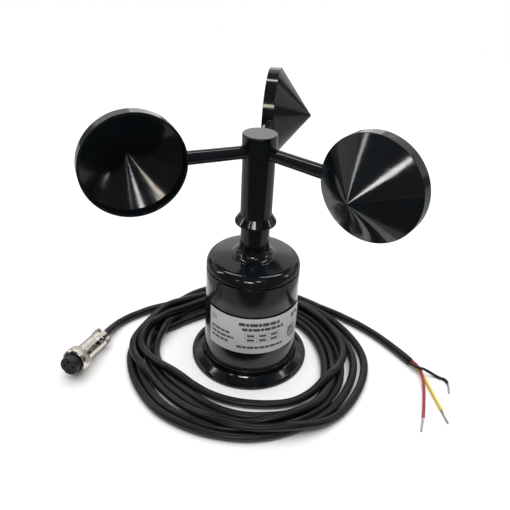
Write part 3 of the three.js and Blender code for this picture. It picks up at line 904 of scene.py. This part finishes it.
def add_label():
    marks = label_marks()
    azimuths = {LABEL_LEFT, LABEL_RIGHT, *np.arange(LABEL_LEFT, LABEL_RIGHT, 1.5)}
    heights = {LABEL_BOTTOM, LABEL_TOP}
    for left, right, low, high, _ in marks:
        azimuths |= {left, right}
        heights |= {low, high}
    azimuths = sorted({round(float(a), 3) for a in azimuths})
    heights = sorted({round(float(h), 3) for h in heights})
    outer = LABEL_R + LABEL_THICK
    columns, rows = len(azimuths), len(heights)
    vertices = []
    for radius in (outer, LABEL_R):
        for height in heights:
            for azimuth in azimuths:
                a = math.radians(azimuth - 90)
                vertices.append((radius * math.cos(a), radius * math.sin(a), height))
    layer = columns * rows
    faces, finishes = [], []
    for j in range(rows - 1):
        for i in range(columns - 1):
            a = j * columns + i
            middle = ((azimuths[i] + azimuths[i + 1]) / 2, (heights[j] + heights[j + 1]) / 2)
            inked = [m for m in marks if m[0] < middle[0] < m[1] and m[2] < middle[1] < m[3]]
            faces.append((a, a + 1, a + columns + 1, a + columns))
            finishes.append((2 if inked[0][4] else 1) if inked else 0)
            faces.append(tuple(layer + k for k in (a + columns, a + columns + 1, a + 1, a)))
            finishes.append(0)
    for j in range(rows - 1):
        for i in (0, columns - 1):
            a = j * columns + i
            faces.append((a, a + columns, a + columns + layer, a + layer))
            finishes.append(0)
    for i in range(columns - 1):
        for j in (0, rows - 1):
            a = j * columns + i
            faces.append((a, a + 1, a + 1 + layer, a + layer))
            finishes.append(0)
    mesh = bpy.data.meshes.new("label")
    mesh.from_pydata([tuple(c * MM for c in v) for v in vertices], [], faces)
    mesh.validate()
    finished("label_plate", mesh, [FILM, INK, FADED_INK], "sensor_body", ["label"], even=False)
    mesh.polygons.foreach_set("material_index", finishes)
    bm = bmesh.new()
    bm.from_mesh(mesh)
    bmesh.ops.recalc_face_normals(bm, faces=bm.faces)
    bm.to_mesh(mesh)
    bm.free()


add_label()


# ---- panel socket at the back -------------------------------------------------------------------------
def nickel_part(name, mesh, body, node, finish=NICKEL):
    return finished(name, mesh, finish, body, [node])


def matt_part(name, mesh, node):
    return finished(name, mesh, MATT, "sensor_body", [node])


def threaded(radius, low, high, pitch=0.75, depth=0.4):
    outline = []
    z = low
    while z + pitch <= high:
        outline += [(radius - depth, z), (radius, z + pitch * 0.4), (radius, z + pitch * 0.55)]
        z += pitch
    return outline + [(radius - depth, z)]


def add_socket():
    place = shift(y=SOCKET_FACE, z=SOCKET_HEIGHT) @ ALONG_Y
    shell = [
        (SOCKET_BORE, SOCKET_TAIL),
        (THREAD_R - 0.5, SOCKET_TAIL),
        (THREAD_R - 0.5, GAP),
        (10.6, GAP, 0.2),
        (10.6, 2.2, 0.5),
        (THREAD_R, 2.2),
        *threaded(THREAD_R, 2.6, 10.2),
        (THREAD_R - 0.5, SOCKET_NOSE, 0.1),
        (SOCKET_BORE, SOCKET_NOSE, 0.2),
    ]
    nickel_part("outlet_shell", moved(turned("outlet", shell, 96), place), "sensor_body", "panel_socket")
    disc = rod("disc", SOCKET_BORE - GAP, SOCKET_TAIL, 2.4, 64)
    for k in range(4):
        pin = rod("pin", 0.8, 1, 9.4, 24, 0.3)
        disc = combined(disc, [("UNION", moved(pin, turn(90 * k, "Z") @ shift(x=3.4)))])
    matt_part("outlet_core", moved(disc, place), "socket_insert")


add_socket()


# ---- cable plug ---------------------------------------------------------------------------------------
def plug_place():
    turned_to = Euler((0, math.radians(90 - PLUG_RISE), math.radians(PLUG_HEADING)), "XYZ").to_matrix().to_4x4()
    return shift(*PLUG_REAR) @ turned_to @ turn(PLUG_ROLL, "Z")


def knurled(mesh, low, high, radius, count, depth):
    """Presses fine grooves into the round outside between two heights."""
    for vertex in mesh.vertices:
        x, y, z = (c / MM for c in vertex.co)
        if low < z < high and math.hypot(x, y) > radius - 0.25:
            angle = math.atan2(y, x)
            wave = 0.5 - 0.5 * math.cos(angle * count)
            factor = 1 - depth * wave / radius
            vertex.co.x *= factor
            vertex.co.y *= factor
    return mesh


def add_plug():
    place = plug_place()
    body = rod("core", INSERT_R, NUT_FROM + 1, PLUG_LENGTH, 96, 0.35)
    tools = []
    for k in range(4):
        hole = rod("hole", 0.9, PLUG_LENGTH - 5, PLUG_LENGTH + 1, 32)
        tools.append(("DIFFERENCE", moved(hole, turn(45 + 90 * k, "Z") @ shift(x=3.1))))
    key = rod("key", 0.9, PLUG_LENGTH - 6, PLUG_LENGTH + 1, 32)
    tools.append(("DIFFERENCE", moved(key, shift(x=INSERT_R + 0.1))))
    insert = matt_part("plug_core", moved(combined(body, tools), place), "plug_insert")

    bore = SHELL_R + 0.5
    grip_low, grip_high = NUT_FROM + 1, NUT_TO - 2.6
    outline = [
        (bore, NUT_FROM, 0.2),
        (NUT_R - 0.5, NUT_FROM, 0.2),
        (NUT_R, NUT_FROM + 0.6, 0.3),
        (NUT_R, grip_low - 0.3),
        *[(NUT_R, grip_low + (grip_high - grip_low) * k / 4) for k in range(5)],
        (NUT_R, grip_high + 0.3),
        (NUT_R, NUT_TO - 0.6, 0.4),
        (NUT_R - 0.6, NUT_TO, 0.4),
        (MOUTH_R, NUT_TO, 0.25),
        (MOUTH_R, NUT_FROM + 3.4),
        (bore, NUT_FROM + 2.6),
    ]
    nut_mesh = knurled(turned("nut", outline, 480), grip_low - 0.01, grip_high + 0.01, NUT_R, 60, 0.16)
    nut = nickel_part("coupling_ring", moved(nut_mesh, place), "coupling_nut", "plug_nut")

    shell = [
        (CABLE_R + 0.1, 0.6, 0.1),
        (4.4, 0.6, 0.3),
        (4.4, 4.9, 0.2),
        (5.4, 5.4, 0.2),
        (SHELL_R, 6.4, 0.4),
        (SHELL_R, 12.7),
        (SHELL_R - 0.22, 12.85),
        (SHELL_R - 0.22, 13.05),
        (SHELL_R, 13.2),
        (SHELL_R, NUT_FROM + 2.6),
        (PLUG_COLLAR_R, NUT_FROM + 3.4),
        (PLUG_COLLAR_R, NUT_FROM + 4.6, 0.2),
        (INSERT_R + 0.1, NUT_FROM + 4.6),
        (INSERT_R + 0.1, NUT_FROM + 0.6),
        (SHELL_BORE, NUT_FROM + 0.6),
        (SHELL_BORE, 7),
        (CABLE_R + 0.1, 5.4),
    ]

    def slot_tool(low, high):
        tool = block("slot", (4, SLOT_WIDTH, high - low), (-6.4, 0, (low + high) / 2), 0.5)
        return moved(tool, turn(SLOT_TURN, "Z"))

    def screw_hole(side):
        return moved(rod("hole", 1.15, -9, 9, 32), shift(y=side, z=CLAMP_AT) @ ALONG_X)

    sides = (CLAMP_SCREW_AT, -CLAMP_SCREW_AT)
    ears = block("ears", (4, 2 * EAR, 3.6), (1.3, 0, CLAMP_AT), 0.5)
    cable_bore = rod("bore", CABLE_R + 0.05, -1, 8, 64)
    seat = block("seat", (7.5, 20, 5.6), (-4.45, 0, CLAMP_AT - 0.4), 0.2)
    cuts = [cable_bore, slot_tool(13.7, 24.7), slot_tool(6.6, 12.3), seat, *map(screw_hole, sides)]
    body_mesh = combined(turned("shell", shell, 128), [("UNION", ears)] + [("DIFFERENCE", m) for m in cuts])
    body = nickel_part("plug_body", moved(body_mesh, place), "sensor_body", "plug_shell")

    plate = block("plate", (1.4, 2 * EAR, 3.6), (-1.8, 0, CLAMP_AT), 0.4)
    arch = ring("arch", CABLE_R + 0.05, 4.1, 0.7, 5.2, 96, 0.25)
    keep = block("keep", (7.5, 20, 10), (-4.85, 0, CLAMP_AT), 0.1)
    half = combined(arch, [("INTERSECT", keep)])
    saddle = combined(half, [("UNION", plate), ("DIFFERENCE", rod("bore", CABLE_R + 0.05, -1, 8, 64))])
    saddle = combined(saddle, [("DIFFERENCE", screw_hole(side)) for side in sides])
    clamp = nickel_part("plug_saddle", moved(saddle, place), "sensor_body", "plug_clamp")

    pieces = [insert, nut, body, clamp]
    for k, side in enumerate(sides, 1):
        screw = [
            (0, -0.1),
            (1, -0.1, 0.1),
            (SCREW_HEAD_R, 0.25, 0.3),
            (SCREW_HEAD_R, 1.2, 0.1),
            (1, 1.2),
            (1, 6.6, 0.2),
            (0, 6.6),
        ]
        slot = block("slot", (4, 0.5, 1), (0, 0, 0), 0.05)
        bolt = combined(turned("bolt", screw, 48), [("DIFFERENCE", moved(slot, turn(25 * k, "Z")))])
        seat_at = shift(x=-4, y=side, z=CLAMP_AT) @ ALONG_X
        bolt_mesh = moved(bolt, place @ seat_at)
        pieces.append(nickel_part(f"saddle_screw_{k}", bolt_mesh, "sensor_body", f"clamp_screw_{k}", STEEL))
    return pieces


plug_pieces = add_plug()


# ---- floor and light ----------------------------------------------------------------------------------
FLOOR_R, CARD_INNER, CARD_OUTER = 1150, 112, 1100


def add_floor():
    s = Shading("floor")
    s.link(s.ramp(s.noise(2), (0.90, 0.90, 0.895), (0.92, 0.92, 0.915)), s.shader.inputs["Base Color"])
    s.set(Roughness=0.9)
    mesh = bpy.data.meshes.new("floor")
    bm = bmesh.new()
    bmesh.ops.create_circle(bm, cap_ends=True, radius=FLOOR_R * MM, segments=96)
    bm.to_mesh(mesh)
    bm.free()
    mesh.materials.append(s.material)
    floor = bpy.data.objects.new("floor", mesh)
    floor.location.z = -0.00005
    bpy.context.scene.collection.objects.link(floor)


def add_light(name, direction, distance, size, radiance, size_y=None, tint=(1, 1, 1), sheen_only=True):
    """A soft box in a direction (azimuth, elevation) from the object, facing it."""
    azimuth, elevation = (math.radians(a) for a in direction)
    middle = Vector((0, 0, 0.09))
    level = math.cos(elevation)
    away = Vector((level * math.cos(azimuth), level * math.sin(azimuth), math.sin(elevation)))
    data = bpy.data.lights.new(name, "AREA")
    data.shape = "RECTANGLE"
    data.size = size
    data.size_y = size_y or size
    data.color = tint
    data.energy = radiance * math.pi * data.size * data.size_y
    light = bpy.data.objects.new(name, data)
    light.location = middle + away * distance
    light.rotation_euler = away.to_track_quat("Z", "Y").to_euler()
    light.visible_camera = False
    light.visible_diffuse = not sheen_only
    light.visible_glossy = sheen_only
    bpy.context.scene.collection.objects.link(light)


def add_world():
    """White to the camera, and dim to the object, so that black plastic mirrors only the soft boxes."""
    world = bpy.data.worlds.new("studio")
    bpy.context.scene.world = world
    world.use_nodes = True
    nodes, links = world.node_tree.nodes, world.node_tree.links
    seen = nodes.new("ShaderNodeBackground")
    mix = nodes.new("ShaderNodeMixShader")
    path = nodes.new("ShaderNodeLightPath")
    around = nodes["Background"]
    around.inputs["Color"].default_value = (0.95, 0.97, 1, 1)
    around.inputs["Strength"].default_value = 0.11
    seen.inputs["Color"].default_value = (1, 1, 1, 1)
    links.new(path.outputs["Is Camera Ray"], mix.inputs["Fac"])
    links.new(around.outputs["Background"], mix.inputs[1])
    links.new(seen.outputs["Background"], mix.inputs[2])
    links.new(mix.outputs["Shader"], nodes["World Output"].inputs["Surface"])


def add_lights():
    add_light("daylight", (80, 80), 1.4, 3.2, 2.2, sheen_only=False)
    add_light("backdrop_low", (90, 15), 1.5, 0.8, 1.4, 0.8)
    add_light("backdrop_left", (119, 15), 1.5, 0.76, 0.65, 0.8)
    add_light("backdrop_right", (61, 15), 1.5, 0.76, 0.6, 0.8)
    add_light("backdrop_high", (90, 39), 1.5, 3.2, 0.6, 0.46)
    add_light("tube_lamp", (90, 74), 1.3, 1.7, 15, 0.085)
    add_light("window_a", (-95, 34.5), 1.6, 0.26, 20, 0.22)
    add_light("window_b", (-106, 34.5), 1.6, 0.13, 15, 0.22, tint=(1, 0.93, 0.75))
    add_light("window_c", (-72, 49), 1.6, 0.15, 17, 0.2)
    add_light("window_d", (-52, 51), 1.6, 0.06, 4, 0.14)
    add_light("window_e", (-128, 35), 1.6, 0.16, 5, 0.2)
    add_light("left_strip", (180, 32), 1.3, 0.09, 9, 0.7)
    add_light("right_strip", (0, 24), 1.3, 0.12, 5, 0.4)
    add_light("left_wall", (165, 22), 1.5, 0.9, 0.45, 0.8)
    add_light("right_wall", (15, 22), 1.5, 0.9, 0.45, 0.8)


def add_card(name, mesh, low, high):
    """A sheet on the floor that only reflections see; its colour paints shade into the reflections."""
    s = Shading(name)
    s.link(s.ramp(s.noise(3), low, high), s.shader.inputs["Base Color"])
    s.set(Roughness=0.95)
    mesh.materials.append(s.material)
    card = bpy.data.objects.new(name, mesh)
    card.visible_camera = card.visible_diffuse = card.visible_shadow = False
    bpy.context.scene.collection.objects.link(card)


def add_cards():
    """Painted reflections: past the coil a grey sheet paints a dimmer room, and in front a dark sheet paints
    shade.
    """
    # painted reflection: a grey ring that only reflections see, standing in for a dimmer room past the coil
    around = ring("dim_reflection_card", CARD_INNER, CARD_OUTER, 0.1, 0.3)
    add_card("dim_reflection_card", around, (0.30, 0.31, 0.32), (0.36, 0.37, 0.38))
    # painted shade: a dark sheet that only reflections see, standing in for the shade in front
    front = block("dark_reflection_card", (1400, 900, 0.1), (0, -562, 0.45), 0.02)
    add_card("dark_reflection_card", front, (0.015, 0.016, 0.018), (0.03, 0.032, 0.035))


add_floor()
add_cards()
add_world()
add_lights()
bpy.context.scene.view_settings.view_transform = "Standard"
